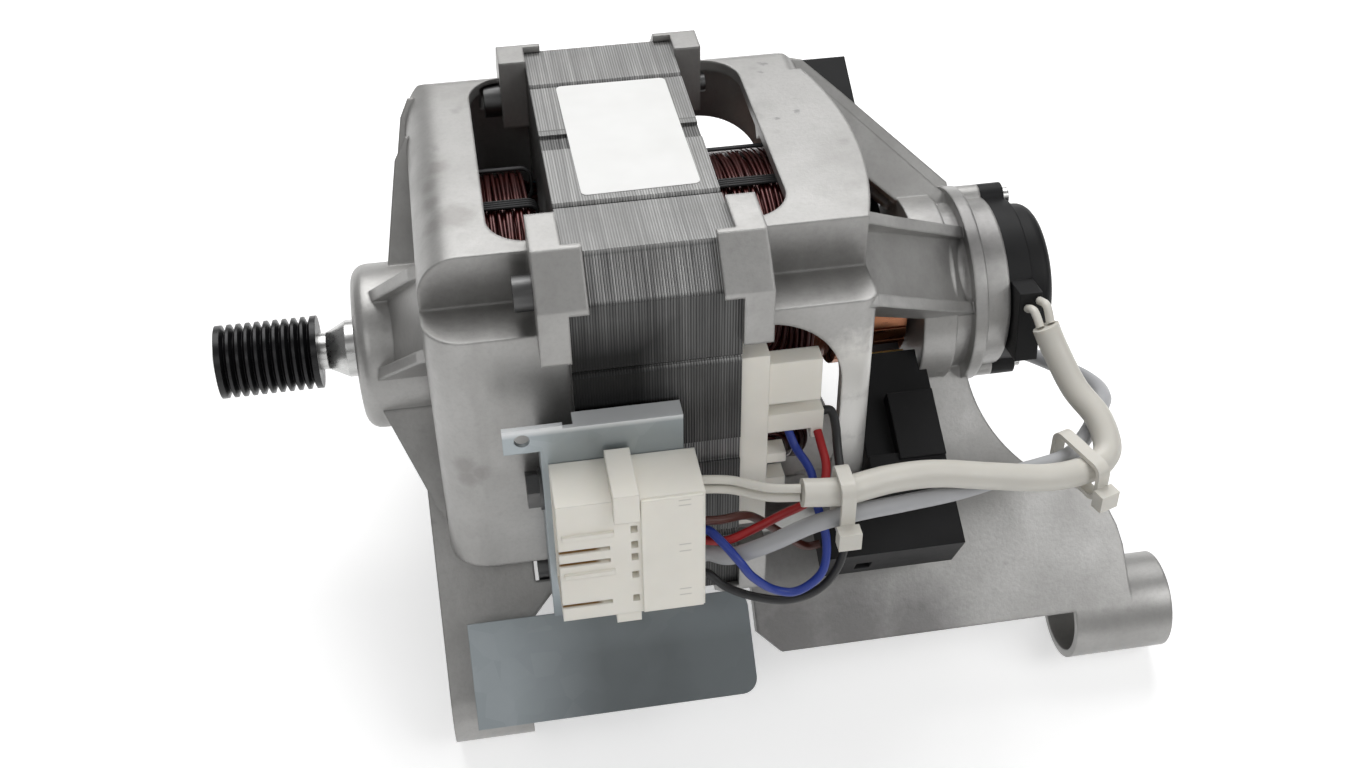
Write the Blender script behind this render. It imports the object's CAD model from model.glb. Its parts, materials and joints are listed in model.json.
# Washing machine motor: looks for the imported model. Metres, in the model's own frame.
import json
import math
import random

import bpy
from mathutils import Matrix, Vector


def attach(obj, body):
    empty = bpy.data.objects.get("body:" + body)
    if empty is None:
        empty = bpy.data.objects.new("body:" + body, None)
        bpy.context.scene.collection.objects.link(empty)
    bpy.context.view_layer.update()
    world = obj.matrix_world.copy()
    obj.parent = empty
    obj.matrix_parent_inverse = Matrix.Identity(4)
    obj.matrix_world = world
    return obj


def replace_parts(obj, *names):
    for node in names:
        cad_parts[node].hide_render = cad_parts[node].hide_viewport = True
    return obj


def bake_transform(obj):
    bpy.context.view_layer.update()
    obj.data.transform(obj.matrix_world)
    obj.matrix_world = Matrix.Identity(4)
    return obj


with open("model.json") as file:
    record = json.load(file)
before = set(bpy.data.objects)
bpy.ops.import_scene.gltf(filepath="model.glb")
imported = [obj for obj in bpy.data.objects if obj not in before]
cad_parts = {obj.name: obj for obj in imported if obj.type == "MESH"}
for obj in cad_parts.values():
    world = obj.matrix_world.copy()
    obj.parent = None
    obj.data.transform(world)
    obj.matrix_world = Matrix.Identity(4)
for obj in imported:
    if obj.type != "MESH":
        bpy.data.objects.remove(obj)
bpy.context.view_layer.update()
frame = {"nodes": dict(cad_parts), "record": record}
NODES = frame["nodes"]
MM = 0.001
random.seed(7)

# Places along the shaft and sizes, as in the part's source (mm)
STACK0, STACK1, HUB1, REAR_WALL1 = 74.0, 113.4, 192.0, 147.4
STACK_MID = (STACK0 + STACK1) / 2
STACK_HALF = 56.0
SHEET = 0.65
LEAD_X = 101.4
BRUSH_X, BRUSH_TURN, HOLDER_REACH = 158.0, 118.0, 75.5
BACK_HOLDER_REACH, WING_LEN = HOLDER_REACH - 3.5, 13.9
OUTLET_TURN, OUTLET_REACH = 82.0, 27.6
SLEEVE_D, CABLE_D, WIRE_D = 7.0, 4.4, 2.2

# Camera, at the photograph's angle: focal length and photo width in pixels, the view's axes, its place in mm
SENSOR_W, FOCAL_PX, PHOTO_W = 36.0, 1604.23, 1366.0
VIEW_RIGHT = Vector((0.98593, -0.16697, -0.00744))
VIEW_UP = Vector((0.11227, 0.62866, 0.76953))
VIEW_BACK = -Vector((0.12381, 0.75954, -0.63856))
CAMERA_PLACE = Vector((53.38, -338.80, 259.85))


def make_camera():
    data = bpy.data.cameras.new("camera")
    data.sensor_width = SENSOR_W
    data.lens = SENSOR_W * FOCAL_PX / PHOTO_W
    data.clip_start = 0.02
    cam = bpy.data.objects.new("camera", data)
    bpy.context.scene.collection.objects.link(cam)
    m = Matrix.Identity(4)
    for i in range(3):
        m[i][0], m[i][1], m[i][2] = VIEW_RIGHT[i], VIEW_UP[i], VIEW_BACK[i]
    m.translation = CAMERA_PLACE * MM
    cam.matrix_world = m
    bpy.context.scene.camera = cam


make_camera()


# Node helpers for materials
class Maker:
    def __init__(self, name):
        self.mat = bpy.data.materials.new(name)
        self.mat.use_nodes = True
        self.tree = self.mat.node_tree
        self.bsdf = self.tree.nodes["Principled BSDF"]
        self.coord = self.node("ShaderNodeTexCoord").outputs["Object"]

    def node(self, kind, **values):
        n = self.tree.nodes.new(kind)
        for k, v in values.items():
            setattr(n, k, v)
        return n

    def link(self, a, b):
        self.tree.links.new(a, b)

    def put(self, sock, v):
        """Links an output to a socket, or sets a colour or a number on it."""
        if hasattr(v, "links"):
            self.link(v, sock)
        else:
            sock.default_value = (*v, 1) if isinstance(v, tuple) else v

    def set(self, **values):
        for k, v in values.items():
            self.put(self.bsdf.inputs[k.replace("_", " ")], v)

    def noise(self, scale, detail=4.0, roughness=0.55, stretch=None, offset=(0, 0, 0)):
        n = self.node("ShaderNodeTexNoise")
        n.inputs["Scale"].default_value = scale
        n.inputs["Detail"].default_value = detail
        n.inputs["Roughness"].default_value = roughness
        m = self.node("ShaderNodeMapping")
        m.inputs["Location"].default_value = offset
        if stretch:
            m.inputs["Scale"].default_value = stretch
        self.link(self.coord, m.inputs["Vector"])
        self.link(m.outputs["Vector"], n.inputs["Vector"])
        return n.outputs["Fac"]

    def ramp(self, fac, stops):
        r = self.node("ShaderNodeValToRGB")
        e = r.color_ramp.elements
        while len(e) < len(stops):
            e.new(0.5)
        for el, (pos, col) in zip(e, stops):
            el.position = pos
            el.color = (*col, 1) if isinstance(col, tuple) else (col, col, col, 1)
        self.link(fac, r.inputs["Fac"])
        return r.outputs["Color"]

    def mix(self, fac, a, b):
        m = self.node("ShaderNodeMix", data_type="RGBA")
        for sock, v in ((m.inputs[0], fac), (m.inputs[6], a), (m.inputs[7], b)):
            self.put(sock, v)
        return m.outputs[2]

    def paint(self, under, mask, share, colour):
        """Puts a colour over another where the mask is, at most to this share."""
        return self.mix(self.math("MULTIPLY", mask, share), under, colour)

    def bump(self, layers, round_mm=0.0):
        """Layers of height, strength and distance (mm), over edges that look rounded."""
        normal = None
        if round_mm:
            b = self.node("ShaderNodeBevel", samples=4)
            b.inputs["Radius"].default_value = round_mm * MM
            normal = b.outputs["Normal"]
        for height, strength, distance in layers:
            b = self.node("ShaderNodeBump")
            b.inputs["Strength"].default_value = strength
            b.inputs["Distance"].default_value = distance * MM
            self.link(height, b.inputs["Height"])
            if normal is not None:
                self.link(normal, b.inputs["Normal"])
            normal = b.outputs["Normal"]
        self.link(normal, self.bsdf.inputs["Normal"])

    def math(self, kind, a, b):
        n = self.node("ShaderNodeMath", operation=kind)
        self.put(n.inputs[0], a)
        self.put(n.inputs[1], b)
        return n.outputs["Value"]

    def vector(self, kind, a, b=None):
        n = self.node("ShaderNodeVectorMath", operation=kind)
        self.link(a, n.inputs[0])
        if b is not None:
            n.inputs[1].default_value = b
        return n.outputs["Value" if kind == "DISTANCE" else "Vector"]

    def axis(self, vec, name):
        n = self.node("ShaderNodeSeparateXYZ")
        self.link(vec, n.inputs["Vector"])
        return n.outputs[name]

    def span(self, value, low, high, to_low=0.0, to_high=1.0):
        n = self.node("ShaderNodeMapRange")
        for k, v in (("From Min", low), ("From Max", high), ("To Min", to_low), ("To Max", to_high)):
            n.inputs[k].default_value = v
        self.link(value, n.inputs["Value"])
        return n.outputs["Result"]

    def fade(self, name, ends, to_low=0.0, to_high=1.0):
        """A value that changes along one axis, between two places (mm)."""
        return self.span(self.axis(self.coord, name), ends[0] * MM, ends[1] * MM, to_low, to_high)

    def blots(self, places, ragged, rag=0.15, core=0.45):
        """A mask of soft spots; each place is a centre and a radius (mm), with edges moved by a noise."""
        mask = 0.0
        for centre, r in places:
            d = self.vector("DISTANCE", self.coord, tuple(v * MM for v in centre))
            d = self.math("ADD", d, self.span(ragged, 0.3, 0.7, -rag * r * MM, rag * r * MM))
            mask = self.math("MAXIMUM", self.span(d, core * r * MM, 1.1 * r * MM, 1.0, 0.0), mask)
        return mask

    def boxes(self, places, core=0.8):
        """A mask of boxes; each place is a centre and its half sizes (mm)."""
        mask = 0.0
        for centre, half in places:
            v = self.vector("SUBTRACT", self.coord, tuple(c * MM for c in centre))
            v = self.vector("DIVIDE", self.vector("ABSOLUTE", v), tuple(h * MM for h in half))
            far = self.math("MAXIMUM", self.axis(v, "X"), self.axis(v, "Y"))
            far = self.math("MAXIMUM", far, self.axis(v, "Z"))
            mask = self.math("MAXIMUM", self.span(far, core, 1.1, 1.0, 0.0), mask)
        return mask

    def color(self, sock):
        self.link(sock, self.bsdf.inputs["Base Color"])

    def rough(self, fac, low, high):
        self.link(self.span(fac, 0.3, 0.7, low, high), self.bsdf.inputs["Roughness"])


# Marks on the castings, where the photograph shows them
STAINS = [((48.6, 3.7, 50), 3.4), ((51.4, -18.8, 50), 6.2), ((45.4, -3, 50), 3.2),
          ((45.2, -11, 50), 3.6), ((45.6, -20, 50), 3.8), ((46.8, -50, -1.6), 3.6),
          ((47.6, -50, -5.2), 3.4), ((50.4, -50, -3.6), 2.8)]
PITS = [((141.3, 14.1, 50), 1.1), ((135.4, 11.8, 50), 0.8), ((137.7, 40.4, 50), 1.2),
        ((136.5, 35.8, 50), 0.9)]
BRIGHT = [((143, -50, 14), 13), ((143.5, -50, 0), 12), ((144, -50, -12), 11)]
DULL = [((126, -64, -60), 17), ((143, -64, -60), 17), ((160, -66, -62), 15), ((183, -8, 24), 16)]
# The inside of the gutters along the upper corner is darker
SHADED = [((x, -39.5, 39.5), 10.5) for x in (46, 53, 60, 67, 121, 128, 135, 142, 149, 156)]


def cast_metal():
    k = Maker("cast_aluminium")
    k.set(Metallic=0.65)
    stain = k.noise(34, 5, 0.6)
    grain = k.noise(900, 3, 0.7)
    flow = k.noise(90, 3, 0.6, stretch=(1, 1, 0.3), offset=(0.3, 0, 0))
    spot = k.noise(150, 2, 0.5, offset=(0.7, 0.2, 0))
    ragged = k.noise(420, 3, 0.6)
    c = k.ramp(stain, [(0.28, (0.325, 0.32, 0.31)), (0.5, (0.395, 0.39, 0.38)),
                       (0.75, (0.45, 0.445, 0.435))])
    c = k.mix(k.ramp(flow, [(0.55, 0.0), (0.8, 0.5)]), c, (0.27, 0.265, 0.255))
    c = k.mix(k.ramp(spot, [(0.68, 0.0), (0.8, 0.35)]), c, (0.20, 0.195, 0.19))
    c = k.mix(k.ramp(grain, [(0.3, 0.25), (0.55, 0.0)]), c, (0.28, 0.275, 0.27))
    c = k.paint(c, k.blots(BRIGHT, ragged), 0.8, (0.86, 0.85, 0.82))
    c = k.paint(c, k.blots(STAINS, ragged), 0.55, (0.24, 0.23, 0.22))
    c = k.paint(c, k.blots(PITS, ragged, rag=0.9, core=0.2), 0.5, (0.12, 0.12, 0.12))
    c = k.paint(c, k.blots(DULL, ragged, rag=0.1, core=0.3), 0.7, (0.16, 0.155, 0.155))
    c = k.paint(c, k.blots(SHADED, ragged, rag=0.1, core=0.3), 0.5, (0.16, 0.155, 0.15))
    k.color(c)
    k.rough(stain, 0.46, 0.34)
    k.bump([(grain, 0.22, 0.2), (flow, 0.12, 0.5)], round_mm=1.0)
    return k.mat


# The stack's flat pads: their edges and shaded sides run over all the sheets (half sizes in mm)
ACROSS = 30
PAD_LINES = [((STACK_MID, 5.6, STACK_HALF), (ACROSS, 0.32, 1)),
             ((STACK_MID, -28, STACK_HALF), (ACROSS, 0.4, 1)),
             ((STACK_MID, -STACK_HALF, 28), (ACROSS, 1, 0.35))]
PAD_SHADES = [((STACK_MID, -30, STACK_HALF), (ACROSS, 2.4, 1)),
              ((STACK_MID, 1.6, STACK_HALF), (ACROSS, 4, 1)),
              ((STACK_MID, -43, STACK_HALF), (ACROSS, 13, 1))]
# The dark film beside the bracket
FILM = [((80, -STACK_HALF, 24), (18, 3, 17))]
# Where the stack's outer faces begin, and the wave texture's scale times the distance between its bands
SKIN = (STACK_HALF - 0.8, STACK_HALF - 0.2)
WAVE_SCALE = 0.31416


def lamination():
    k = Maker("laminations")
    k.set(Metallic=0.85)
    # One dark line between each two sheets
    wave = k.node("ShaderNodeTexWave", wave_type="BANDS", bands_direction="X", wave_profile="SIN")
    wave.inputs["Scale"].default_value = WAVE_SCALE / (SHEET * MM)
    wave.inputs["Distortion"].default_value = 0.0
    k.link(k.coord, wave.inputs["Vector"])
    sheet = wave.outputs["Fac"]
    uneven = k.noise(1.0, 2, 0.8, stretch=(1100, 14, 14))
    stain = k.noise(40, 4, 0.6)
    c = k.ramp(uneven, [(0.3, (0.13, 0.13, 0.13)), (0.7, (0.34, 0.34, 0.335))])
    c = k.mix(k.ramp(sheet, [(0.0, 0.85), (0.45, 0.0)]), c, (0.02, 0.02, 0.02))
    c = k.mix(k.ramp(stain, [(0.5, 0.0), (0.8, 0.5)]), c, (0.08, 0.075, 0.07))
    c = k.paint(c, k.boxes(PAD_LINES), 0.85, (0.02, 0.02, 0.02))
    c = k.paint(c, k.boxes(PAD_SHADES), 0.35, (0.04, 0.04, 0.04))
    c = k.paint(c, k.boxes(FILM, core=0.5), 0.95, (0.003, 0.003, 0.003))
    # The top catches the light, and the connector's side is duller
    c = k.mix(k.fade("Z", SKIN, 0.0, 0.22), c, (0.55, 0.55, 0.54))
    c = k.mix(k.fade("Y", (-SKIN[0], -SKIN[1]), 0.0, 0.6), c, (0.015, 0.015, 0.015))
    k.color(c)
    k.rough(stain, 0.34, 0.5)
    k.bump([(sheet, 0.5, 0.12), (uneven, 0.35, 0.1)], round_mm=0.3)
    return k.mat


def plain_metal(name, base, rough=0.3, metallic=1.0):
    k = Maker(name)
    k.set(Metallic=metallic)
    fine = k.noise(700, 3, 0.6, stretch=(0.15, 1, 1))
    wide = k.noise(60, 3, 0.6)
    dark = tuple(v * 0.72 for v in base)
    k.color(k.mix(k.ramp(wide, [(0.35, 0.0), (0.75, 0.6)]), base, dark))
    k.rough(fine, rough * 0.8, rough * 1.3)
    k.bump([(fine, 0.12, 0.1)], round_mm=0.25)
    return k.mat


# On the bracket (mm): where the skirt below the connector turns dull, and where the bright lip on top begins
SKIRT_Z, SKIRT_X, LIP_Z = (-36, -52), (52, 76), (16.5, 18)


def galvanised():
    k = Maker("galvanised_sheet")
    v = k.node("ShaderNodeTexVoronoi", feature="F1")
    v.inputs["Scale"].default_value = 160
    k.link(k.coord, v.inputs["Vector"])
    spangle = k.node("ShaderNodeRGBToBW")
    k.link(v.outputs["Color"], spangle.inputs["Color"])
    wide = k.noise(30, 4, 0.6)
    c = k.mix(k.ramp(spangle.outputs["Val"], [(0.2, 0.0), (0.8, 0.35)]),
              (0.36, 0.40, 0.42), (0.47, 0.51, 0.53))
    c = k.mix(k.ramp(wide, [(0.45, 0.0), (0.75, 0.5)]), c, (0.30, 0.33, 0.35))
    dull = k.math("MULTIPLY", k.fade("Z", SKIRT_Z, 0.0, 0.85), k.fade("X", SKIRT_X))
    c = k.mix(dull, c, (0.14, 0.155, 0.16))
    c = k.mix(k.fade("Z", LIP_Z, 0.0, 0.9), c, (0.84, 0.86, 0.87))
    k.link(k.fade("Z", LIP_Z, 0.8, 0.3), k.bsdf.inputs["Metallic"])
    k.color(c)
    k.rough(wide, 0.34, 0.5)
    k.bump([(wide, 0.05, 0.5)], round_mm=0.3)
    return k.mat


def plastic(name, base, rough=0.5, grain=0.12, round_mm=0.5, tint=0.85, sss=0.0, shine=0.5, marks=()):
    """Plastic that changes faintly to a tint of its colour; each mark has boxes, a share and a colour."""
    k = Maker(name)
    k.set(Specular_IOR_Level=shine)
    wide = k.noise(55, 4, 0.6)
    fine = k.noise(1600, 2, 0.6)
    dark = tuple(v * tint for v in base)
    c = k.mix(k.ramp(wide, [(0.35, 0.0), (0.75, 1.0)]), base, dark)
    for places, share, colour in marks:
        c = k.paint(c, k.boxes(places), share, colour)
    k.color(c)
    k.rough(wide, rough * 0.85, rough * 1.15)
    k.bump([(fine, grain, 0.08)], round_mm)
    if sss:
        k.set(Subsurface_Weight=sss, Subsurface_Scale=0.002)
        k.bsdf.inputs["Subsurface Radius"].default_value = (1.0, 0.8, 0.6)
    return k.mat


def insulation(name, base, tint=0.85):
    return plastic(name, base, rough=0.4, grain=0.03, round_mm=0.0, tint=tint)


# On the connector: short moulded lines on its front, and brass that shows in its slots
CREAM = (0.93, 0.90, 0.82)
TICKS = [((96.1, -78, z), (1.5, 1, 0.2)) for z in (6.2, 4.6, -8.0, -10.2, -23.0, -25.0)]
SLOT_GLINTS = [((71, -75.2, z), (5, 1.5, 0.95)) for z in (-7.05, -11.05, -25.05)]
CREAM_MARKS = [(TICKS, 0.5, tuple(v * 0.5 for v in CREAM)), (SLOT_GLINTS, 1.0, (0.30, 0.16, 0.045))]


def enamel_wire(name, base, strand=False):
    k = Maker(name)
    k.set(Metallic=0.6, Coat_Weight=0.45, Coat_Roughness=0.14)
    wide = k.noise(140, 3, 0.6)
    dark = tuple(v * 0.45 for v in base)
    k.color(k.mix(k.ramp(wide, [(0.35, 0.0), (0.7, 1.0)]), base, dark))
    k.rough(wide, 0.28, 0.42)
    if strand:
        s = k.noise(1.0, 1, 0.5, stretch=(1200, 160, 160))
        k.bump([(s, 0.9, 0.6)])
    return k.mat


def paper():
    k = Maker("blank_label")
    fine = k.noise(900, 3, 0.6)
    wide = k.noise(40, 3, 0.6)
    k.color(k.mix(k.ramp(wide, [(0.4, 0.0), (0.8, 1.0)]), (0.83, 0.83, 0.82), (0.76, 0.76, 0.745)))
    k.rough(wide, 0.38, 0.5)
    k.bump([(fine, 0.05, 0.05)])
    return k.mat


# One material for each slot of the record, and the label's
MAT = {
    "cast": cast_metal(),
    "lamination": lamination(),
    "enamel_wire": enamel_wire("enamel_wire", (0.085, 0.011, 0.009)),
    "copper": plain_metal("commutator_copper", (0.62, 0.27, 0.15)),
    "steel": plain_metal("bright_steel", (0.62, 0.62, 0.61), rough=0.28),
    "black_metal": plain_metal("blackened_steel", (0.008, 0.008, 0.009), rough=0.32, metallic=0.3),
    "zinc": galvanised(),
    "black_plastic": plastic("black_plastic", (0.006, 0.006, 0.0065), grain=0.2, round_mm=0.6, tint=1.5,
                             shine=0.25),
    "resin": plastic("brown_resin", (0.10, 0.05, 0.03), rough=0.45),
    "cream_plastic": plastic("cream_plastic", CREAM, rough=0.42, grain=0.06, tint=0.95, sss=0.12,
                             marks=CREAM_MARKS),
    "carbon": plastic("carbon", (0.035, 0.035, 0.037), rough=0.55, grain=0.3, round_mm=0.2),
    "brass": plain_metal("brass_sheet", (0.74, 0.54, 0.22)),
    "magnet": plastic("ferrite", (0.06, 0.06, 0.06)),
    "liner": plastic("slot_liner", (0.012, 0.085, 0.125), rough=0.4, grain=0.05, round_mm=0.1),
    "lacing": plastic("black_lacing", (0.012, 0.012, 0.013), rough=0.6, grain=0.6, round_mm=0.2, tint=1.7),
    "white_pvc": plastic("white_sleeve", (0.66, 0.64, 0.585), rough=0.4, grain=0.03, round_mm=0.0, tint=0.95,
                         sss=0.1),
    "grey_pvc": plastic("grey_sleeve", (0.42, 0.425, 0.44), rough=0.42, grain=0.03, round_mm=0.0, tint=0.92),
    "brown_pvc": insulation("brown_insulation", (0.085, 0.022, 0.015)),
    "red_pvc": insulation("red_insulation", (0.38, 0.010, 0.012)),
    "blue_pvc": insulation("blue_insulation", (0.018, 0.045, 0.30)),
    "black_pvc": insulation("black_insulation", (0.015, 0.015, 0.016), tint=1.5),
    "label": paper(),
}
for sub in frame["record"]["subparts"]:
    ob = NODES[sub["node"]]
    ob.data.materials.clear()
    ob.data.materials.append(MAT[sub["material_slot"]])
NODES["rotor_winding"].data.materials[0] = enamel_wire("rotor_wire", (0.34, 0.11, 0.06), strand=True)
dull_steel = plain_metal("dull_steel", (0.15, 0.15, 0.15), rough=0.42)
for node in ("long_screws", "bracket_screws"):
    NODES[node].data.materials[0] = dull_steel


# Pieces
def piece(name, data, mat):
    ob = bpy.data.objects.new(name, data)
    bpy.context.scene.collection.objects.link(ob)
    data.materials.append(mat)
    return ob


def add(name, data, mat):
    """A piece that stays with the frame."""
    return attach(piece(name, data, mat), "frame")


def mesh_of(name, points, faces):
    """A mesh from points in mm."""
    me = bpy.data.meshes.new(name)
    me.from_pydata([tuple(v * MM for v in p) for p in points], [], faces)
    return me


def spline_points(pts, steps=8):
    """A smooth line through the points, with this many steps between each two."""
    out = []
    n = len(pts)
    for i in range(n - 1):
        p, a = Vector(pts[max(i - 1, 0)]), Vector(pts[i])
        b, c = Vector(pts[i + 1]), Vector(pts[min(i + 2, n - 1)])
        for j in range(steps):
            t = j / steps
            bend, twist = 2 * p - 5 * a + 4 * b - c, 3 * a - p - 3 * b + c
            out.append(0.5 * (2 * a + (b - p) * t + bend * t * t + twist * t ** 3))
    out.append(Vector(pts[-1]))
    return out


def tube_curve(name, lines, r_mm, cyclic=False, res=3):
    cu = bpy.data.curves.new(name, "CURVE")
    cu.dimensions = "3D"
    cu.bevel_depth = r_mm * MM
    cu.bevel_resolution = res
    cu.use_fill_caps = not cyclic
    for line in lines:
        sp = cu.splines.new("POLY")
        sp.points.add(len(line) - 1)
        for q, p in zip(sp.points, line):
            q.co = (p[0] * MM, p[1] * MM, p[2] * MM, 1)
        sp.use_cyclic_u = cyclic
        sp.use_smooth = True
    return cu


def lead(node, route, d, mat_slot):
    """A cable or wire on its route, in place of its plain solid."""
    name = node + "_soft"
    pts = spline_points(route)
    ob = add(name, tube_curve(name, [pts], d / 2), MAT[mat_slot])
    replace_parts(ob, node)


def placed(turn, x, out, across):
    """A place round the shaft: outwards along an axis turned from +Z, and across it."""
    c, sn = math.cos(math.radians(turn)), math.sin(math.radians(turn))
    return (x, across * c - out * sn, across * sn + out * c)


# Leads, on the routes of the part's source
X, S, H = LEAD_X, STACK1, HUB1
BACK_END = [placed(BRUSH_TURN + 180, BRUSH_X + 4, BACK_HOLDER_REACH - 15.4, a) for a in (16.2, 10.4)]
FRONT_END = [placed(BRUSH_TURN, REAR_WALL1 - WING_LEN - d, HOLDER_REACH - 6.5, 2.5) for d in (4.4, 0.4)]
WHITE = [(H + 5, -34, 9), (H + 7, -37, 4), (H + 11, -44, -4), (H + 15, -52, -8), (H + 15, -60, -12),
         (H + 9, -64.5, -13), (H - 4, -69, -10), (H - 20, -70, -6), (S + 44.6, -71, -2),
         (S + 32.6, -73, 0), (S + 20.6, -76, 1), (S + 10.6, -76, 2)]
GREY = [(X, -69, -21), (X + 2.4, -69.2, -21), (X + 7, -72, -20.2), (S + 3.6, -75, -14.5),
        (S + 13.6, -77, -7.8), (S + 24.6, -77, -5.6), (S + 36.6, -74.5, -7), (S + 52.6, -69, -10.8),
        (H - 10, -63.5, -12.5),
        (H + 5, -58.5, -14), (H + 12, -52.5, -14), (H + 18, -45, -14), (H + 24, -35, -16),
        (H + 24, -22, -20), (H + 19, -6, -26), (H + 11, 10, -30), (H + 2, 26, -28),
        (H - 8, 40, -18), (H - 17, 51, -5), (H - 24, 57, 4), *BACK_END]
BROWN = [(X, -69, -10), (X + 5, -68.5, -11), (X + 11, -66.5, -12.5), (S + 3, -65, -16),
         (S + 9, -63.5, -23), *FRONT_END]
RED = [(X, -69, -16.5), (X + 6, -70.1, -16.6), (S + 0.6, -69.2, -15), (S + 7.6, -69, -11.5),
       (S + 13.6, -69, -8.5), (S + 18.1, -67, -6), (S + 20, -62, -3.5), (S + 20, -56.5, -1.5),
       (S + 19.8, -53.2, 0)]
BLUE = [(X, -69, -13.3), (X + 2, -69.4, -13.3), (X + 5, -73.6, -14.6), (X + 8, -77, -17.4),
        (X + 11, -78, -22), (S + 4.6, -77.5, -28), (S + 10.6, -77.5, -29.5), (S + 16.6, -76.5, -25),
        (S + 18.1, -73, -17.5), (S + 16.6, -67.5, -10), (S + 16.6, -61, -6), (S + 14.1, -54, -3.5),
        (S + 12.6, -51.2, 0.8)]
BLACK = [(X, -69, -28), (X + 2, -69.2, -28.4), (X + 6, -71.5, -31.5), (S + 0.6, -74, -33.5),
         (S + 8.6, -76, -34), (S + 16.1, -76.5, -31), (S + 21.1, -75, -25), (S + 23.6, -71.5, -17),
         (S + 23.4, -67, -9), (S + 23.4, -60, -2), (S + 24, -54, 2), (S + 23.5, -50.8, 4),
         (S + 21.4, -50.5, 4)]
SENSOR = [[placed(OUTLET_TURN, H + 2.5, OUTLET_REACH + 0.5, 6), (H + 2.9, -30.4, 11.4),
           (H + 3.6, -34.1, 8.9)],
          [placed(OUTLET_TURN, H + 5.5, OUTLET_REACH + 0.5, 8), (H + 6, -30.5, 12.8),
           (H + 6.3, -33.6, 9.7)]]
SENSOR_PLUG = [[(X, -69, 3.4 - 3 * z), (X + 7, -70, 3 - 3 * z), (X + 15, -74, 3 - 3 * z),
                (S + 10.3, -76, 3.4 - 2.7 * z)] for z in (0, 1)]
lead("white_sleeve", WHITE, SLEEVE_D, "white_pvc")
lead("grey_cable", GREY, CABLE_D, "grey_pvc")
lead("brown_wire", BROWN, WIRE_D, "brown_pvc")
lead("red_wire", RED, WIRE_D, "red_pvc")
lead("blue_wire", BLUE, WIRE_D, "blue_pvc")
lead("black_wire", BLACK, WIRE_D, "black_pvc")
for node, routes in (("sensor_leads", SENSOR), ("sensor_plug_leads", SENSOR_PLUG)):
    tubes = tube_curve(node + "_soft", [spline_points(route) for route in routes], WIRE_D / 2)
    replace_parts(add(node + "_soft", tubes, MAT["white_pvc"]), node)


# Field coils: many fine turns inside the envelope of the wound solids
COIL_R, COIL_PITCH, COIL_TURNS, COIL_HALF, COIL_ANGLE = 38.0, 2.9, 6, 24.2, 58.0
COIL_STEP = math.degrees(COIL_PITCH / (COIL_R + COIL_PITCH / 2))
FINE_LAYERS, FINE_TURNS, FINE_R, LOOP_STEPS = 5, 13, 0.52, 96
# How square a loop's corners are
SQUARE = 10
# How each fine turn strays from its place: range (mm), and angles (radians) of its waves over a loop
STRAY, STRAY_WAVES, RISE_WAVES, FULL_WAVE = (0.05, 0.22), 18.8, 31.4, 6.28


def saddle(u, r, turn, wob):
    """A point of one loop; the loop is a box with round corners, bent over the pole."""
    quarter = 4 * turn
    part = quarter - math.floor(quarter)
    q = part if math.floor(quarter) % 2 == 0 else 1 - part
    side = 1 - (1 - q) ** 2
    end = max(0.0, 1 - side ** SQUARE) ** (1 / SQUARE)
    free = end ** 6
    uu = u + wob[0] * free * math.sin(STRAY_WAVES * turn + wob[1])
    rr = r + 0.5 * wob[0] * free * math.sin(RISE_WAVES * turn + wob[2])
    a = math.radians((COIL_ANGLE + COIL_STEP * uu) * side * (1 if quarter < 2 else -1))
    x = (COIL_HALF + COIL_PITCH * uu) * end * (1 if quarter < 1 or quarter >= 3 else -1)
    return (STACK_MID + x, rr * math.sin(a), rr * math.cos(a))


def coil_lines(sign):
    lines = []
    for layer in range(FINE_LAYERS):
        r = COIL_R - 0.45 + (COIL_PITCH + 0.9) * layer / (FINE_LAYERS - 1)
        for t in range(FINE_TURNS):
            u = (COIL_TURNS - 0.15) * (t + 0.5 * (layer % 2)) / (FINE_TURNS - 0.5) + 0.05
            wob = (random.uniform(*STRAY), random.uniform(0, FULL_WAVE), random.uniform(0, FULL_WAVE))
            line = [saddle(u, r, i / LOOP_STEPS, wob) for i in range(LOOP_STEPS)]
            lines.append([(x, y * sign, z * sign) for x, y, z in line])
    return lines


for node, sign in (("upper_field_coil", 1), ("lower_field_coil", -1)):
    wound = tube_curve(node + "_wound", coil_lines(sign), FINE_R, cyclic=True, res=1)
    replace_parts(add(node + "_wound", wound, MAT["enamel_wire"]), node)

# Lacing round the end turns: strands side by side in each loop, which is a box with round corners
LACING_X, LACING_Z, LACING_CORNER = (COIL_HALF - 2.4, COIL_HALF + 19.8), (34.4, 42.6), 2.6
LACING_TURNS, STRANDS, STRAND_R = (-24, 6, 156, 186), (-1.2, -0.4, 0.4, 1.2), 0.42
CORNER_ANGLES = (0, 22.5, 45, 67.5, 90)


def lacing_lines():
    lines = []
    (x0, x1), (z0, z1), r = LACING_X, LACING_Z, LACING_CORNER
    corners = ((x1 - r, z1 - r, 0), (x0 + r, z1 - r, 90), (x0 + r, z0 + r, 180), (x1 - r, z0 + r, 270))
    loop = [(cx + r * math.cos(math.radians(a + k)), cz + r * math.sin(math.radians(a + k)))
            for cx, cz, a in corners for k in CORNER_ANGLES]
    for turn in LACING_TURNS:
        for end in (-1, 1):
            for y in STRANDS:
                lines.append([placed(turn, STACK_MID + end * x, z, y) for x, z in loop])
    return lines


laced = tube_curve("coil_ties_laced", lacing_lines(), STRAND_R, cyclic=True, res=2)
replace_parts(add("coil_ties_laced", laced, MAT["lacing"]), "coil_ties")

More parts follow.
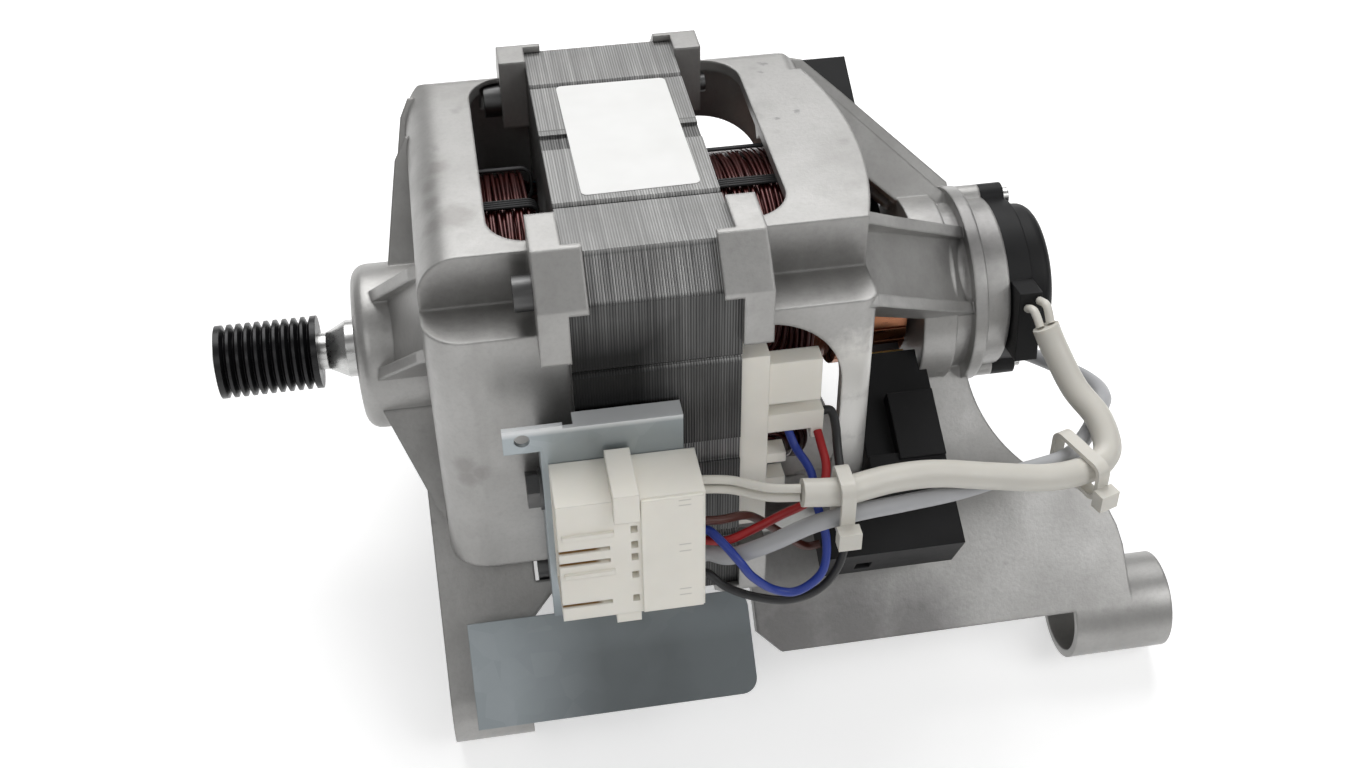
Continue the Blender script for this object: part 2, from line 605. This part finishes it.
# Brush springs: each shortens along the brush's axis as the brush slides outwards
BRUSH_TAIL, TUBE_END = 46.6, HOLDER_REACH - 8.5
SPRING_R, SPRING_WIRE, SPRING_CURLS = 2.0, 0.7, 9
SPRING_LOW = BRUSH_TAIL + SPRING_WIRE / 2 + 0.2
SPRING_LEN = TUBE_END - 1.4 - SPRING_WIRE - BRUSH_TAIL


def spring_mesh(name, turn, steps=16, sides=8):
    """A helix of round wire along a brush's axis, closed at both ends."""
    n, wire = steps * SPRING_CURLS, SPRING_WIRE / 2
    rise = SPRING_LEN / (math.tau * SPRING_CURLS)
    slope = math.hypot(SPRING_R, rise)
    points = []
    for i in range(n + 1):
        c, sn = math.cos(math.tau * i / steps), math.sin(math.tau * i / steps)
        for j in range(sides):
            out = SPRING_R + wire * math.cos(math.tau * j / sides)
            side = wire * math.sin(math.tau * j / sides) / slope
            along = SPRING_LOW + SPRING_LEN * i / n - side * SPRING_R
            x, across = out * c - side * rise * sn, out * sn + side * rise * c
            points.append(placed(turn, BRUSH_X + x, along, across))
    faces = [list(range(sides - 1, -1, -1)), list(range(n * sides, (n + 1) * sides))]
    faces += [[i * sides + j, i * sides + (j + 1) % sides, (i + 1) * sides + (j + 1) % sides,
               (i + 1) * sides + j] for i in range(n) for j in range(sides)]
    me = mesh_of(name, points, faces)
    me.shade_smooth()
    return me


for side, turn in (("front", BRUSH_TURN), ("back", BRUSH_TURN + 180)):
    node = side + "_brush_spring"
    ob = piece(node + "_wound", spring_mesh(node + "_wound", turn), MAT["steel"])
    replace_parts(ob, node)
    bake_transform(ob)

# Blank label on the stack's top face: corners in order, and its thickness (mm)
LABEL = [(80.6, 26.9), (81.2, -24.8), (109.4, -24.3), (108.8, 26.7)]
LABEL_CORNER, LABEL_THICK, LABEL_LIFT = 1.5, 0.12, 0.02


def sheet_mesh(name, corners, radius, thick, n_round=6):
    """A thin sheet with round corners, from four points in order (mm)."""
    p = [Vector(c) for c in corners]
    nrm = (p[1] - p[0]).cross(p[3] - p[0]).normalized()
    ring = []
    for i in range(4):
        a, b, c = p[i - 1], p[i], p[(i + 1) % 4]
        u, v = (a - b).normalized(), (c - b).normalized()
        mid = b + (u + v) * radius
        for j in range(n_round + 1):
            t = j / n_round * math.pi / 2
            ring.append(mid - v * radius * math.cos(t) - u * radius * math.sin(t))
    n = len(ring)
    faces = [list(range(n - 1, -1, -1)), list(range(n, 2 * n))]
    faces += [[i, (i + 1) % n, n + (i + 1) % n, n + i] for i in range(n)]
    return mesh_of(name, ring + [q + nrm * thick for q in ring], faces)


label_corners = [(x, y, STACK_HALF + LABEL_LIFT) for x, y in LABEL]
add("label", sheet_mesh("label", label_corners, LABEL_CORNER, LABEL_THICK), MAT["label"])

# Stage: a white floor that the part rests on, and soft light, most of it from above
FLOOR_TILT = math.radians(14.85)
FLOOR_POINT = Vector((100, -55.0, -85.1))
FLOOR_HALF, FLOOR_WHITE, ROOM_LIGHT = 3.0, 0.45, 0.2
# Each light's place and size (m) and power (W); all aim at the middle of the part
AIM = (0.1, 0, 0)
LIGHTS = {
    "overhead": ((0.12, 0.5, 0.9), (1.0, 0.9), 10),
    "left_key": ((-0.25, -0.6, 0.6), (0.4, 0.4), 0.8),
    "right_key": ((0.65, -0.5, 0.5), (0.5, 0.5), 2.1),
    "front_fill": ((0.05, -0.9, 0.05), (0.8, 0.5), 0.95),
}


def floor_paper():
    k = Maker("floor_paper")
    wide = k.noise(2.0, 3, 0.5)
    k.color(k.mix(k.ramp(wide, [(0.3, 0.0), (0.8, 1.0)]), (0.86, 0.86, 0.86), (0.84, 0.84, 0.84)))
    k.set(Roughness=0.8, Emission_Color=(1.0, 1.0, 1.0))
    # The paper's own white is for the camera and for reflections, and doesn't light the part
    path = k.node("ShaderNodeLightPath").outputs
    seen = k.math("MAXIMUM", path["Is Camera Ray"], path["Is Glossy Ray"])
    seen = k.math("MAXIMUM", seen, path["Is Transmission Ray"])
    k.link(k.math("MULTIPLY", seen, FLOOR_WHITE), k.bsdf.inputs["Emission Strength"])
    return k.mat


def make_floor():
    me = bpy.data.meshes.new("floor")
    h = FLOOR_HALF
    me.from_pydata([(-h, -h, 0), (h, -h, 0), (h, h, 0), (-h, h, 0)], [], [[0, 1, 2, 3]])
    ob = piece("floor", me, floor_paper())
    ob.matrix_world = Matrix.Translation(FLOOR_POINT * MM) @ Matrix.Rotation(FLOOR_TILT, 4, "X")


def area_light(name, pos, size, power):
    data = bpy.data.lights.new(name, "AREA")
    data.shape = "RECTANGLE"
    data.size, data.size_y = size
    data.energy = power
    ob = bpy.data.objects.new(name, data)
    bpy.context.scene.collection.objects.link(ob)
    aim = (Vector(AIM) - Vector(pos)).normalized()
    ob.matrix_world = Matrix.Translation(pos) @ aim.to_track_quat("-Z", "Y").to_matrix().to_4x4()


def make_room():
    world = bpy.data.worlds.new("soft_room")
    bpy.context.scene.world = world
    world.use_nodes = True
    background = world.node_tree.nodes["Background"].inputs
    background["Color"].default_value = (1, 1, 1, 1)
    background["Strength"].default_value = ROOM_LIGHT


bpy.context.scene.view_settings.view_transform = "Standard"
make_floor()
make_room()
for name, (pos, size, power) in LIGHTS.items():
    area_light(name, pos, size, power)
